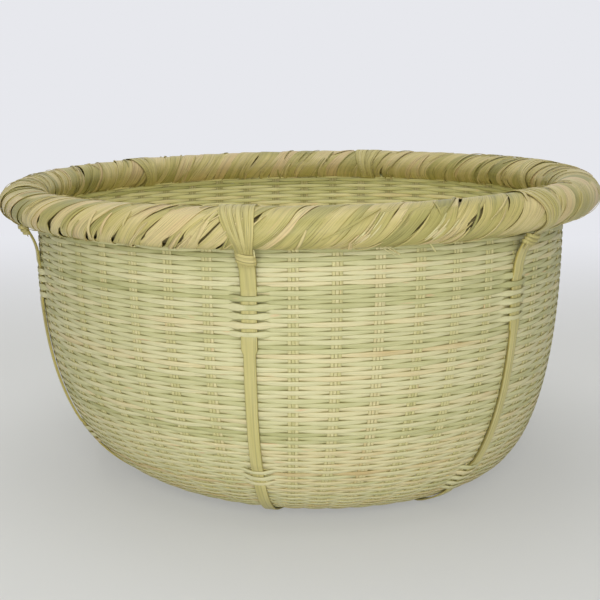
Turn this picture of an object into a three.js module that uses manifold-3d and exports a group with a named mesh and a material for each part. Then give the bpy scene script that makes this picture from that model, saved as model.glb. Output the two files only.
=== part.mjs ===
// A round bamboo rice-washing basket (zaru) with a heavy wrapped rim.
//
// Twenty-three flat strips cross in a plaited square under the base. Their ends fan out and climb the
// wall as forty-six stakes, which lie in channels of the dense woven wall. The wall's top edge is
// clamped between an inner and an outer hoop with a bundle of splits outside them, and one long strip
// is wound round all of it, through the weave below the rim. Three long reinforcing ribs cross under
// the base and run up the outside over a stake at each end, and a lashing and a collar tie each of
// their six ends to the rim.
//
// Millimetres, +Z up. The origin is on the surface that the basket stands on, under the rim's centre.
// The ribs' feet rest on it, and the weave is a little clear of it.
// Angles are counted from the front (-Y) towards the right (+X).

import * as THREE from "three";
import Module from "manifold-3d";
import { mergeVertices } from "three/addons/utils/BufferGeometryUtils.js";

// Overall form
const wallOuterRadius = 128.8;
const weaveLift = 1.0; // the weave's underside, above the ribs' feet
const flatBaseRadius = 73.4;
const footWidth = 9.4;
const riseWidth = 8; // inside the foot, where the base rises to the plaited square
const baseRise = 1.5;
const turnHeightPower = 2.59;
const turnRadiusPower = 0.392;
const turnStopsDeg = [0, 7, 16, 27, 40, 55, 72, 90];
const uprightHeight = 15; // the wall stands upright this far below the rim's section centre
const rimCentreHeight = 136;
const rimSectionWidth = 22.4;
const rimSectionHeight = 17;
const rimOverhang = 16.2; // from the wall's outer face to the rim's outermost line

// Weave
const wallThickness = 2.2;
const stakeCount = 46;
const firstStakeDeg = -9;
const stakeThickness = 0.8;
const stakeGap = 1.2; // between two strips side by side in the plaited square
const basePitchShare = 0.1; // of the base opening's radius
const stripFamilies = [
  { firstStake: 7, strands: 12, level: 0 },
  { firstStake: 19, strands: 11, level: 1 },
];
const fanShares = [0, 0.5, 0.75];
const crossingMargin = 4; // the plaited strips cross this far inside the base opening
const basePanelThickness = 1.2;
const basePanelLap = 5;

// Rim
const wrapThickness = 1.1;
const wrapLoops = stakeCount / 2; // it passes through every other space between two stakes
const wrapSteps = 12;
const wrapGap = 0.8;
const wrapSlant = 0.8; // how much of its advance the wrap makes on the rim's faces
const wrapPinch = 3.4; // half its width where it passes through the weave
const wrapGather = 6.4; // half its width one step before and after that
const wrapPassDeg = 237;
const outerHoopWidth = 4.9;
const hoopRadiusShares = [0, 0.38, 0.74, 1];

// Reinforcing ribs, lashings and collars
const ribStakes = [0, 15, 30, 22, 38, 7]; // rib 1 runs from the first of these to the fourth, and so on
const ribWidth = 4.4;
const ribTopWidth = 6;
const ribThickness = 1.2;
const ribFootThickness = 0.7;
const ribCrossingOffset = 5; // the ribs pass the base's middle at this distance
const ribFreeHeight = 30; // the rib stands off the wall from this far below the rim's section centre
const ribTopStandOff = 6.5;
const lashingThickness = 0.8;
const lashingWidth = 13.6;
const lashingNeckWidth = 4.8;
const lashingDrift = -4.7; // sideways from the rib, where it passes over the rim
const lashingTailDrop = 10.5; // how far the lashing's tail hangs below the rim's section centre
const lashingTurnsDeg = [-42, -15, 15, 45, 75, 105, 135, 165, 195];
const lashingSpreadDeg = [-60, 45];
const lashingGatherDeg = [105, 230];
const collarHeight = 4;
const collarThickness = 0.8;
const collarDrop = 13.5; // the collar's middle, below the rim's section centre

// Fits
const fitGap = 0.3;
const hoopGap = 0.6;
const slotClearance = 0.7;
const cutOverrun = 2;

// Handmade offsets: the base sits a little to the right, and the rim is higher on the right
const baseShift = 10;
const baseShiftFade = 26;
const rimTilt = 2;

const degrees = Math.PI / 180;
const stakeStep = (2 * Math.PI) / stakeCount;
const stakeAngle = (index) => firstStakeDeg * degrees + index * stakeStep;
const turnHeight = rimCentreHeight - weaveLift - uprightHeight;
const footInnerRadius = flatBaseRadius - footWidth;
const baseOpeningRadius = footInnerRadius - riseWidth; // where the round weaving starts
const crossingRadius = baseOpeningRadius - crossingMargin;
const baseStripPitch = baseOpeningRadius * basePitchShare;
const stakeWidth = baseStripPitch - stakeGap;
const ribLeaveHeight = rimCentreHeight - ribFreeHeight;
const rimCentreRadius = wallOuterRadius + rimOverhang - rimSectionWidth / 2;
const rimHalfWidth = rimSectionWidth / 2;
const rimHalfHeight = rimSectionHeight / 2;
const wallInnerRadius = wallOuterRadius - wallThickness;
const facetSag = wallOuterRadius * (1 - Math.cos(stakeStep / 2));

const mix = (a, b, share) => a + (b - a) * share;
const smoothShare = (value, low, high) => {
  const share = Math.min(1, Math.max(0, (value - low) / (high - low)));
  return share * share * (3 - 2 * share);
};

// A point at a radius and height, with a sideways step along the tangent.
function around(angle, radius, height, sideways = 0) {
  return new THREE.Vector3(
    radius * Math.sin(angle) + sideways * Math.cos(angle),
    -radius * Math.cos(angle) + sideways * Math.sin(angle),
    height,
  );
}

// Moves a finished geometry's points by the handmade offsets.
function settle(geometry) {
  const place = geometry.getAttribute("position");
  for (let i = 0; i < place.count; i++) {
    const [x, y, z] = [place.getX(i), place.getY(i), place.getZ(i)];
    const heightShare = z / rimCentreHeight;
    place.setXYZ(
      i,
      x + baseShift * Math.exp(-z / baseShiftFade),
      y,
      z + ((rimTilt * x) / rimCentreRadius) * heightShare * heightShare,
    );
  }
  geometry.computeVertexNormals();
  return geometry;
}

// Turns a list of corner points into a geometry whose faces point outwards.
function geometryOf(points, triangles) {
  let volume = 0;
  for (const [a, b, c] of triangles)
    volume += points[a].dot(new THREE.Vector3().crossVectors(points[b], points[c]));
  const outward = volume < 0 ? triangles.map(([a, b, c]) => [a, c, b]) : triangles;
  return new THREE.BufferGeometry().setFromPoints(points).setIndex(outward.flat());
}

// A skin over a row of sections with equal point counts, capped at both ends or closed on itself.
function loft(sections, closed = false) {
  const count = sections[0].length;
  const triangles = [];
  const spans = closed ? sections.length : sections.length - 1;
  for (let i = 0; i < spans; i++) {
    const here = i * count;
    const next = ((i + 1) % sections.length) * count;
    for (let j = 0; j < count; j++) {
      const k = (j + 1) % count;
      triangles.push([here + j, next + j, next + k], [here + j, next + k, here + k]);
    }
  }
  if (!closed) {
    const last = (sections.length - 1) * count;
    for (let j = 1; j < count - 1; j++)
      triangles.push([0, j, j + 1], [last, last + j + 1, last + j]);
  }
  return geometryOf(sections.flat(), triangles);
}

// The wall's outer profile, from the base opening to its top edge inside the rim.
function rimArc(radius, inset) {
  const across = (radius - rimCentreRadius) / (rimHalfWidth - inset);
  return (rimHalfHeight - inset) * Math.sqrt(Math.max(0, 1 - across * across));
}
const hoopInset = wrapThickness + hoopGap;
const wallTop = rimCentreHeight + rimArc(wallInnerRadius, hoopInset);

function wallProfile() {
  const points = [
    new THREE.Vector2(baseOpeningRadius, weaveLift + baseRise),
    new THREE.Vector2(footInnerRadius, weaveLift),
  ];
  for (const stop of turnStopsDeg) {
    const turn = stop * degrees;
    const outward = Math.pow(Math.sin(turn), 2 * turnRadiusPower);
    const upward = 1 - Math.pow(Math.max(0, Math.cos(turn)), 2 / turnHeightPower);
    points.push(
      new THREE.Vector2(
        flatBaseRadius + (wallOuterRadius - flatBaseRadius) * outward,
        weaveLift + turnHeight * upward,
      ),
    );
  }
  points.push(new THREE.Vector2(wallOuterRadius, wallTop));
  return points;
}
const profile = wallProfile();

// Mitred outward directions, so that faces at different depths stay parallel.
const profileOut = profile.map((point, i) => {
  const sides = [];
  if (i > 0) sides.push(point.clone().sub(profile[i - 1]).normalize());
  if (i < profile.length - 1) sides.push(profile[i + 1].clone().sub(point).normalize());
  const outs = sides.map((side) => new THREE.Vector2(side.y, -side.x));
  const sum = outs.reduce((a, b) => a.clone().add(b)).normalize();
  return sum.divideScalar(sum.dot(outs[0]));
});
const profileAt = (i, depth) => profile[i].clone().addScaledVector(profileOut[i], -depth);

// Closed section of a flat strip that follows the wall at one profile stop.
function stripAtWall(angle, i, topDepth, bottomDepth, halfWidth) {
  const near = profileAt(i, topDepth);
  const far = profileAt(i, bottomDepth);
  return [
    around(angle, near.x, near.y, -halfWidth),
    around(angle, near.x, near.y, halfWidth),
    around(angle, far.x, far.y, halfWidth),
    around(angle, far.x, far.y, -halfWidth),
  ];
}

const wasm = await Module();
wasm.setup();

function solidOf(geometry) {
  const bare = geometry.clone();
  for (const name of ["normal", "uv"]) bare.deleteAttribute(name);
  const merged = mergeVertices(bare);
  return new wasm.Manifold(
    new wasm.Mesh({
      numProp: 3,
      vertProperties: merged.getAttribute("position").array,
      triVerts: new Uint32Array(merged.index.array),
    }),
  );
}

function cut(geometry, cutters) {
  let solid = solidOf(geometry);
  for (const cutter of cutters) solid = solid.subtract(solidOf(cutter));
  const mesh = solid.getMesh();
  return new THREE.BufferGeometry()
    .setAttribute("position", new THREE.BufferAttribute(new Float32Array(mesh.vertProperties), 3))
    .setIndex(new THREE.BufferAttribute(new Uint32Array(mesh.triVerts), 1));
}

// A box-shaped cutter through the wall between two heights.
function slot(angle, halfWidth, low, high) {
  const middle = (wallOuterRadius + wallInnerRadius) / 2;
  const box = new THREE.BoxGeometry(2 * halfWidth, wallThickness + 2 * cutOverrun, high - low);
  box.rotateZ(angle);
  const centre = around(angle, middle, (low + high) / 2);
  return box.translate(centre.x, centre.y, centre.z);
}

// The woven wall: dense horizontal weaving with a channel for each stake.
function wovenWall() {
  const grooveHalf = stakeWidth / 2 + fitGap;
  const grooveDepth = stakeThickness + fitGap;
  const rows = profile.length;
  const points = [];
  const columns = 4 * stakeCount;
  for (let s = 0; s < stakeCount; s++) {
    const angle = stakeAngle(s);
    const stops = [
      [-grooveHalf, 0],
      [-grooveHalf, grooveDepth],
      [grooveHalf, grooveDepth],
      [grooveHalf, 0],
    ];
    for (const [sideways, depth] of stops)
      for (let i = 0; i < rows; i++) {
        const at = profileAt(i, depth);
        points.push(around(angle, at.x, at.y, sideways));
      }
  }
  const innerStart = points.length;
  for (let s = 0; s < stakeCount; s++)
    for (let i = 0; i < rows; i++) {
      const at = profileAt(i, wallThickness);
      points.push(around(stakeAngle(s), at.x, at.y));
    }
  const outer = (column, i) => (column % columns) * rows + i;
  const inner = (s, i) => innerStart + (s % stakeCount) * rows + i;
  const triangles = [];
  const quad = (a, b, c, d) => triangles.push([a, b, c], [a, c, d]);
  for (let c = 0; c < columns; c++)
    for (let i = 0; i < rows - 1; i++)
      quad(outer(c, i), outer(c + 1, i), outer(c + 1, i + 1), outer(c, i + 1));
  for (let s = 0; s < stakeCount; s++) {
    for (let i = 0; i < rows - 1; i++)
      quad(inner(s, i), inner(s, i + 1), inner(s + 1, i + 1), inner(s + 1, i));
    for (let k = 0; k < 3; k++) {
      const c = 4 * s + k;
      triangles.push([inner(s, 0), outer(c + 1, 0), outer(c, 0)]);
      triangles.push([inner(s, rows - 1), outer(c, rows - 1), outer(c + 1, rows - 1)]);
    }
    const c = 4 * s + 3;
    quad(inner(s, 0), inner(s + 1, 0), outer(c + 1, 0), outer(c, 0));
    quad(inner(s, rows - 1), outer(c, rows - 1), outer(c + 1, rows - 1), inner(s + 1, rows - 1));
  }
  return cut(geometryOf(points, triangles), [...wrapSlots(), ...lashingSlots()]);
}

function wrapSlots() {
  const low = rimCentreHeight - rimArc(wallOuterRadius, 0) - fitGap;
  const high = rimCentreHeight - rimArc(wallInnerRadius, wrapThickness) + 2 * slotClearance;
  const halfWidth = wrapPinch + 2 * slotClearance + fitGap;
  const cutters = [];
  for (let n = 0; n < wrapLoops; n++)
    cutters.push(slot(stakeAngle(2 * n + 0.5), halfWidth, low, high));
  return cutters;
}

const lashingPassHeight = rimCentreHeight - rimHalfHeight - 2 * lashingThickness;
function lashingSlots() {
  const halfHeight = lashingThickness / 2 + slotClearance;
  const halfWidth = lashingNeckWidth / 2 + fitGap;
  return ribStakes.map((s) =>
    slot(stakeAngle(s - 0.5), halfWidth, lashingPassHeight - halfHeight, lashingPassHeight + halfHeight),
  );
}

// The floor panel: it stands for the closed plaiting and laps onto the wall's flat foot.
function basePanel() {
  const low = weaveLift + baseRise + wallThickness + fitGap;
  const panel = new THREE.CylinderGeometry(
    baseOpeningRadius + basePanelLap,
    baseOpeningRadius + basePanelLap,
    basePanelThickness,
    stakeCount,
  );
  panel.rotateX(Math.PI / 2);
  return panel.translate(0, 0, low + basePanelThickness / 2);
}

// Where half of a base strip runs: straight from the middle, then bent towards its stake. The half
// runs along +X of its own frame, and place counts the strips from the middle one.
function baseFan(place) {
  const fanAngle = place * stakeStep;
  const offset = place * baseStripPitch;
  const bendAt = place === 0 ? baseStripPitch / stakeStep : offset / Math.tan(fanAngle);
  const bend = new THREE.Vector2(bendAt, offset);
  const end = new THREE.Vector2(Math.cos(fanAngle), Math.sin(fanAngle));
  end.multiplyScalar(baseOpeningRadius);
  const start = new THREE.Vector2(bendAt - end.distanceTo(bend), offset);
  const curve = new THREE.QuadraticBezierCurve(start, bend, end);
  return fanShares.map((share) => ({
    at: curve.getPoint(share),
    along: curve.getTangent(share),
  }));
}

// Half of a long strip, from the base's middle out to its stake and up the wall.
function stripHalf(stake, heading, place, level) {
  const half = stakeWidth / 2;
  const upAxis = new THREE.Vector3(0, 0, 1);
  const base = baseFan(place).map(({ at, along }) => {
    const lift = at.length() < crossingRadius ? level * (stakeThickness + fitGap) : 0;
    const low = weaveLift + baseRise + lift;
    const corner = (across, height) =>
      new THREE.Vector3(at.x - along.y * across, at.y + along.x * across, height).applyAxisAngle(
        upAxis,
        heading,
      );
    const high = low + stakeThickness;
    return [corner(-half, low), corner(half, low), corner(half, high), corner(-half, high)];
  });
  const climb = profile.map((_, i) => stripAtWall(stakeAngle(stake), i, 0, stakeThickness, half));
  return [...base, ...climb];
}

// Two families of strips cross in the base: one from side to side, the other above it from front to
// back. Each strip ends as two stakes on opposite sides of the wall.
function stakeStrips() {
  const strips = [];
  for (const { firstStake, strands, level } of stripFamilies) {
    const middleStake = firstStake + (strands - 1) / 2;
    const heading = stakeAngle(middleStake) - Math.PI / 2;
    for (let k = 0; k < strands; k++) {
      const place = k - (strands - 1) / 2;
      const farStake = middleStake + stakeCount / 2 - place;
      const near = stripHalf(firstStake + k, heading, place, level);
      const far = stripHalf(farStake, heading + Math.PI, -place, level);
      const farTurned = far.reverse().map(([a, b, c, d]) => [b, a, d, c]);
      strips.push(loft([...farTurned, ...near]));
    }
  }
  return strips;
}

// A hoop that fills the rim's section between two radii.
function rimHoop(innerRadius, outerRadius) {
  const upper = hoopRadiusShares.map((share) => {
    const radius = mix(innerRadius, outerRadius, share);
    return [radius, rimArc(radius, hoopInset)];
  });
  const least = fitGap / 2;
  const outline = [
    ...upper.map(([radius, rise]) => [radius, rimCentreHeight + Math.max(least, rise)]),
    ...upper.reverse().map(([radius, rise]) => [radius, rimCentreHeight - Math.max(least, rise)]),
  ];
  const sections = [];
  for (let s = 0; s < stakeCount; s++)
    sections.push(outline.map(([radius, height]) => around(stakeAngle(s), radius, height)));
  return loft(sections, true);
}

// A point on the rim's section, at a height above the wrap's outer face.
function rimPoint(angle, turn, proud) {
  return around(
    angle,
    rimCentreRadius + (rimHalfWidth + proud) * Math.cos(turn),
    rimCentreHeight + (rimHalfHeight + proud) * Math.sin(turn),
  );
}

// The wrap: one unbroken strip wound round the hoops, pinched where it passes through the weave.
function wrapSections() {
  const fullHalf = stakeStep - wrapGap / 2 / rimCentreRadius;
  const pinchHalf = wrapPinch / rimCentreRadius;
  const gatherHalf = wrapGather / rimCentreRadius;
  const sections = [];
  for (let i = 1; i <= wrapLoops * wrapSteps; i++) {
    const share = i / wrapSteps;
    const within = (i % wrapSteps) / wrapSteps;
    const turn = wrapPassDeg * degrees + share * 2 * Math.PI;
    const advance = share - (wrapSlant * Math.sin(2 * Math.PI * share)) / (2 * Math.PI);
    const middle = stakeAngle(0.5) + advance * 2 * stakeStep;
    const fromPass = Math.min(within, 1 - within) * wrapSteps;
    const half = [pinchHalf, gatherHalf][Math.round(fromPass)] ?? fullHalf;
    const face = (proud) => [-half, 0, half].map((side) => rimPoint(middle + side, turn, proud));
    sections.push([...face(0), ...face(-wrapThickness).reverse()]);
  }
  return sections;
}

// Smallest distance between points of the wrap that are more than half a loop apart.
function leastWrapGap(sections) {
  let least = Infinity;
  for (let i = 0; i < sections.length; i++)
    for (let j = i + Math.ceil(wrapSteps / 2); j < sections.length; j++)
      for (const a of sections[i])
        for (const b of sections[j]) least = Math.min(least, a.distanceTo(b));
  return least;
}

// The radius of a rib's inner face above the place where it leaves the wall. The rib is straight
// along its neck, where the lashing's tail and the collar lie on it.
const ribTop = rimCentreHeight - rimHalfHeight - 3 * fitGap;
const neckLow = rimCentreHeight - collarDrop - collarHeight;
const neckTop = rimCentreHeight - lashingTailDrop;
const freeShare = (height) => (height - ribLeaveHeight) / (ribTop - ribLeaveHeight);
function ribStandOff(height) {
  const share = freeShare(height);
  return wallOuterRadius + fitGap + ribTopStandOff * share * share;
}
const neckSlope = (ribStandOff(neckTop) - ribStandOff(neckLow)) / (neckTop - neckLow);

// One end of a rib, from the edge of the plaited square out to the rim.
function ribClimb(stake) {
  const angle = stakeAngle(stake);
  const half = ribWidth / 2;
  const sections = [];
  const addSection = (far, near, halfWidth) =>
    sections.push([
      around(angle, far[0], far[1], -halfWidth),
      around(angle, far[0], far[1], halfWidth),
      around(angle, near[0], near[1], halfWidth),
      around(angle, near[0], near[1], -halfWidth),
    ]);
  for (let i = 0; profile[i].y < ribLeaveHeight; i++) {
    const bodyShare = smoothShare(profile[i].y, weaveLift + baseRise, turnHeight / 4);
    const thickness = mix(ribFootThickness, ribThickness, bodyShare);
    const far = profileAt(i, -fitGap - thickness);
    const near = profileAt(i, -fitGap);
    addSection(far.toArray(), near.toArray(), half);
  }
  for (const height of [ribLeaveHeight, neckLow, neckTop, ribTop]) {
    const inner = ribStandOff(height);
    const halfWidth = mix(half, ribTopWidth / 2, Math.min(1, 2 * freeShare(height)));
    addSection([inner + ribThickness, height], [inner, height], halfWidth);
  }
  return sections;
}

// A rib's run under the plaited square. It passes under the first rib that it meets, and over the next.
function ribCrossing(start, end) {
  const half = ribWidth / 2;
  const from = around(stakeAngle(start), baseOpeningRadius, 0);
  const to = around(stakeAngle(end), baseOpeningRadius, 0);
  const along = to.sub(from).normalize();
  const across = new THREE.Vector3(-along.y, along.x, 0);
  const meeting = Math.sqrt(3) * ribCrossingOffset;
  const low = weaveLift + baseRise - fitGap - ribFootThickness;
  const drop = ribFootThickness + fitGap;
  const section = (distance, below) =>
    [
      [-half, low - below],
      [half, low - below],
      [half, low - below + ribFootThickness],
      [-half, low - below + ribFootThickness],
    ].map(([sideways, height]) =>
      new THREE.Vector3(0, 0, height)
        .addScaledVector(along, distance)
        .addScaledVector(across, sideways - ribCrossingOffset),
    );
  return [
    section(-meeting - ribWidth, drop),
    section(-meeting + ribWidth, drop),
    section(meeting - ribWidth, 0),
    section(meeting + ribWidth, 0),
  ];
}

function rib(start, end) {
  const down = ribClimb(start).reverse().map(([a, b, c, d]) => [b, a, d, c]);
  return loft([...down, ...ribCrossing(start, end), ...ribClimb(end)]);
}

// A lashing: from its tail on the rib, spread over the rim, and back through the weave beside the rib.
function lashing(stake) {
  const angle = stakeAngle(stake);
  const neck = lashingNeckWidth / 2;
  const clear = 2 * fitGap;
  const tail = (height) => {
    const inner = ribStandOff(height) + ribThickness + fitGap;
    const outer = inner + lashingThickness;
    return [
      around(angle, outer, height, -neck),
      around(angle, outer, height, neck),
      around(angle, inner, height, neck),
      around(angle, inner, height, -neck),
    ];
  };
  const overRim = (turnDeg) => {
    const spreadShare = smoothShare(turnDeg, ...lashingSpreadDeg);
    const gatherShare = smoothShare(turnDeg, ...lashingGatherDeg);
    const passDrift = (-stakeStep / 2) * rimCentreRadius;
    const drift = mix(lashingDrift * spreadShare, passDrift, gatherShare);
    const half = mix(mix(neck, lashingWidth / 2, spreadShare), neck, gatherShare);
    const at = (side, proud) =>
      rimPoint(angle + (drift + side) / rimCentreRadius, turnDeg * degrees, proud);
    const outer = clear + lashingThickness;
    return [at(-half, outer), at(half, outer), at(half, clear), at(-half, clear)];
  };
  const pass = (radius, lift, lean) => {
    const low = lashingPassHeight - lashingThickness / 2 + lift;
    const passAngle = angle - stakeStep / 2;
    return [
      around(passAngle, radius, low, -neck),
      around(passAngle, radius, low, neck),
      around(passAngle, radius + lean, low + lashingThickness, neck),
      around(passAngle, radius + lean, low + lashingThickness, -neck),
    ];
  };
  return loft([
    tail(neckLow),
    tail(neckTop),
    ...lashingTurnsDeg.map(overRim),
    pass(wallInnerRadius - 3 * lashingThickness, 2 * lashingThickness, lashingThickness / 2),
    pass(wallInnerRadius - facetSag - clear, 0, 0),
    pass(wallOuterRadius + lashingThickness, 0, 0),
  ]);
}

// A collar: a closed band round the rib's neck and the lashing's tail.
function collar(stake) {
  const angle = stakeAngle(stake);
  const middle = rimCentreHeight - collarDrop;
  const side = ribTopWidth / 2 + fitGap;
  const ribFace = ribStandOff(neckLow) + neckSlope * (middle - neckLow);
  const back = -fitGap;
  const front = ribThickness + lashingThickness + 2 * fitGap;
  const chamfer = collarThickness;
  const inside = [
    [back, -side],
    [front - chamfer, -side],
    [front, -side + chamfer],
    [front, side - chamfer],
    [front - chamfer, side],
    [back, side],
  ];
  const centre = (back + front) / 2;
  const grow = (value, about) => value + Math.sign(value - about) * collarThickness;
  const sections = inside.map(([radial, sideways]) =>
    [
      [radial, sideways, -1],
      [grow(radial, centre), grow(sideways, 0), -1],
      [grow(radial, centre), grow(sideways, 0), 1],
      [radial, sideways, 1],
    ].map(([out, across, up]) => {
      const height = (up * collarHeight) / 2;
      return around(angle, ribFace + neckSlope * height + out, middle + height, across);
    }),
  );
  return loft(sections, true);
}

const bamboo = (color, roughness = 0.6) =>
  new THREE.MeshStandardMaterial({ color, roughness, metalness: 0 });
const weaverBamboo = bamboo(0xcfcf9c);
const stakeBamboo = bamboo(0xc9c48c);
const ribBamboo = bamboo(0xc4b982, 0.5);
const wrapBamboo = bamboo(0xc2b97c, 0.5);
const coreBamboo = bamboo(0xb5a870, 0.75);

const basket = new THREE.Group();
function add(name, geometry, material) {
  const mesh = new THREE.Mesh(settle(geometry), material);
  mesh.name = name;
  basket.add(mesh);
}

add("woven_wall", wovenWall(), weaverBamboo);
add("base_plait_panel", basePanel(), weaverBamboo);
stakeStrips().forEach((geometry, i) =>
  add(`stake_strip_${String(i + 1).padStart(2, "0")}`, geometry, stakeBamboo),
);
const innerHoopInner = rimCentreRadius - rimHalfWidth + hoopInset;
const outerHoopInner = wallOuterRadius + fitGap + facetSag;
const coreInner = outerHoopInner + outerHoopWidth + fitGap;
const coreOuter = rimCentreRadius + rimHalfWidth - hoopInset;
add("inner_rim_hoop", rimHoop(innerHoopInner, wallInnerRadius - fitGap), coreBamboo);
add("outer_rim_hoop", rimHoop(outerHoopInner, outerHoopInner + outerHoopWidth), coreBamboo);
add("rim_core_bundle", rimHoop(coreInner, coreOuter), coreBamboo);
const wrap = wrapSections();
console.log(`rim wrap: least gap to itself ${leastWrapGap(wrap).toFixed(2)} mm`);
add("rim_wrap_strip", loft(wrap), wrapBamboo);
const longRibs = ribStakes.length / 2;
for (let i = 0; i < longRibs; i++)
  add(`reinforcing_rib_${i + 1}`, rib(ribStakes[i], ribStakes[i + longRibs]), ribBamboo);
ribStakes.forEach((stake, i) => {
  add(`rim_lashing_${i + 1}`, lashing(stake), wrapBamboo);
  add(`rib_collar_${i + 1}`, collar(stake), wrapBamboo);
});

export default basket;
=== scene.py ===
import math
import bpy
import numpy as np
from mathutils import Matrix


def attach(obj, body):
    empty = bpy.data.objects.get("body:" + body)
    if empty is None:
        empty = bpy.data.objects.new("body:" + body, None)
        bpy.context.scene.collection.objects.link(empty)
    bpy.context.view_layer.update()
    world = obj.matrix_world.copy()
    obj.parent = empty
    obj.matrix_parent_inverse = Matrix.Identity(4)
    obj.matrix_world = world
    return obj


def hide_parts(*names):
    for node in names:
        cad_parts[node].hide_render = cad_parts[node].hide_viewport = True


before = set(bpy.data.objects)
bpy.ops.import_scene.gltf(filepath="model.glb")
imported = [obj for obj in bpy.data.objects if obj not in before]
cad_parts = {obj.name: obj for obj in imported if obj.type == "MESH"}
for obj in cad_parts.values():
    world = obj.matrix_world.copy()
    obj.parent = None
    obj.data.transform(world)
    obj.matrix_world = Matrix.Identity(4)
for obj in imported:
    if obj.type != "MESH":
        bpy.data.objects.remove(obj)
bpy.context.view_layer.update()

# A round bamboo rice-washing basket. The wall is plain weave: thin rows go over and under groups of
# three stakes. The stakes cross in a twilled square under the base. A strip winds round the rim, and
# six ribs on the outside are tied to it. Lengths are in millimetres until a mesh is made.
print("packed model loaded")

form = {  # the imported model's own sizes
    "wallRadius": 128.8,
    "wallThickness": 2.2,
    "lift": 1.0,
    "flatRadius": 73.4,
    "openingRadius": 56.0,
    "baseRise": 1.5,  # how much higher the edge of the plaited square lies, gone at baseRiseEnd
    "baseRiseEnd": 66.0,
    "turnHeight": 120.0,
    "turnHeightPower": 2.59,
    "turnRadiusPower": 0.392,
    "wallTop": 134.0,
    "rimHeight": 136.0,
    "rimRadius": 133.8,
    "rimHalfWidth": 11.2,
    "rimHalfHeight": 8.5,
    "stakeCount": 46,
    "firstStakeDeg": -9.0,
    "baseShift": 10.0,
    "baseShiftFade": 26.0,
    "rimTilt": 2.0,
    # how far the stakes' columns lean to the left and the front low down, the height over which that
    # fades, and the radii between which it sets in
    "columnLean": (-12.0, -24.0),
    "leanHeight": 27.0,
    "leanRadii": (58.0, 92.0),
}
step = 2 * math.pi / form["stakeCount"]
down = np.array([0.0, 0.0, -1.0])


def smooth(value, low, high):
    share = np.clip((np.asarray(value, float) - low) / (high - low), 0, 1)
    return share * share * (3 - 2 * share)


def mix(a, b, share):
    return a + (b - a) * share


def unit(vectors):
    return vectors / np.linalg.norm(vectors, axis=-1, keepdims=True)


def lengthAlong(path):
    # Distance along a path from its first point to each of its points
    return np.concatenate([[0], np.cumsum(np.linalg.norm(np.diff(path, axis=0), axis=1))])


def atLengths(path, length, wanted):
    # A path's rows at the wanted distances along it
    return np.stack([np.interp(wanted, length, column) for column in path.T], -1)


def wallLine():
    # Middle surface of the weave from the ring round the plaited square up to the rim, by arc length
    inner = np.linspace(form["openingRadius"], form["flatRadius"], 60)
    turn = np.radians(np.linspace(0, 90, 400))[1:]
    high = np.linspace(form["lift"] + form["turnHeight"], form["wallTop"], 30)[1:]
    spread = form["wallRadius"] - form["flatRadius"]
    radius = np.concatenate([
        inner,
        form["flatRadius"] + spread * np.sin(turn) ** (2 * form["turnRadiusPower"]),
        np.full(len(high), form["wallRadius"]),
    ])
    foot = form["lift"] + form["baseRise"] * (1 - smooth(inner, form["openingRadius"], form["baseRiseEnd"]))
    rise = 1 - np.abs(np.cos(turn)) ** (2 / form["turnHeightPower"])
    height = np.concatenate([foot, form["lift"] + form["turnHeight"] * rise, high])
    face = np.column_stack([radius, height])
    length = lengthAlong(face)
    # the direction is averaged over a few samples, so that it has no jump where the line's parts meet
    spacing, window = 0.5, 9
    face = atLengths(face, length, np.arange(0, length[-1], spacing))
    kernel = np.ones(window) / window
    padded = [np.pad(d, window // 2, mode="edge") for d in np.gradient(face, axis=0).T]
    along = unit(np.stack([np.convolve(d, kernel, "valid") for d in padded], -1))
    normal = np.stack([along[:, 1], -along[:, 0]], -1)
    middle = face - normal * form["wallThickness"] / 2
    r, z = middle.T
    nr, nz = normal.T
    return {"s": lengthAlong(middle), "r": r, "z": z, "nr": nr, "nz": nz}


line = wallLine()
sTop = line["s"][-1]


def lineAt(key, s):
    return np.interp(s, line["s"], line[key])


def stakeAngle(u):
    return math.radians(form["firstStakeDeg"]) + np.asarray(u, float) * step


def around(angle, radius, height, sideways=0.0):
    angle, radius, height, sideways = np.broadcast_arrays(angle, radius, height, sideways)
    return np.stack([
        radius * np.sin(angle) + sideways * np.cos(angle),
        -radius * np.cos(angle) + sideways * np.sin(angle),
        height.astype(float),
    ], -1)


def onWall(u, s, off=0.0, sideways=0.0):
    # A point on the weave by stake count and arc length, and the wall's outward direction there
    u, s = np.broadcast_arrays(np.asarray(u, float), np.asarray(s, float))
    angle, radius, height = stakeAngle(u), lineAt("r", s), lineAt("z", s)
    fade = np.exp(-np.maximum(height, 0) / form["leanHeight"]) * smooth(radius, *form["leanRadii"])
    leanX, leanY = form["columnLean"]
    angle = angle + fade * (leanX * np.cos(angle) + leanY * np.sin(angle)) / radius
    nr, nz = lineAt("nr", s), lineAt("nz", s)
    return around(angle, radius + nr * off, height + nz * off, sideways), around(angle, nr, nz)


def settle(points):
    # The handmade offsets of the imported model: the base sits to the right and the rim's right side is high
    x, y, z = points[..., 0], points[..., 1], points[..., 2]
    share = z / form["rimHeight"]
    return np.stack([
        x + form["baseShift"] * np.exp(-z / form["baseShiftFade"]),
        y,
        z + form["rimTilt"] * x / form["rimRadius"] * share * share,
    ], -1)


def settleOut(points, outward):
    # Outward directions after the same offsets
    z = points[..., 2]
    slope = -form["baseShift"] / form["baseShiftFade"] * np.exp(-z / form["baseShiftFade"])
    leaning = outward.copy()
    leaning[..., 2] = outward[..., 2] - slope * outward[..., 0]
    return unit(leaning)


def rimPoint(angle, turn, proud):
    # On the rim's section, at a height above the wrap's outer face, and the outward direction there
    a, b = form["rimHalfWidth"], form["rimHalfHeight"]
    radius = form["rimRadius"] + (a + proud) * np.cos(turn)
    height = form["rimHeight"] + (b + proud) * np.sin(turn)
    nr, nz = np.cos(turn) / a, np.sin(turn) / b
    size = np.hypot(nr, nz)
    return around(angle, radius, height), around(angle, nr / size, nz / size)


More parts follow.
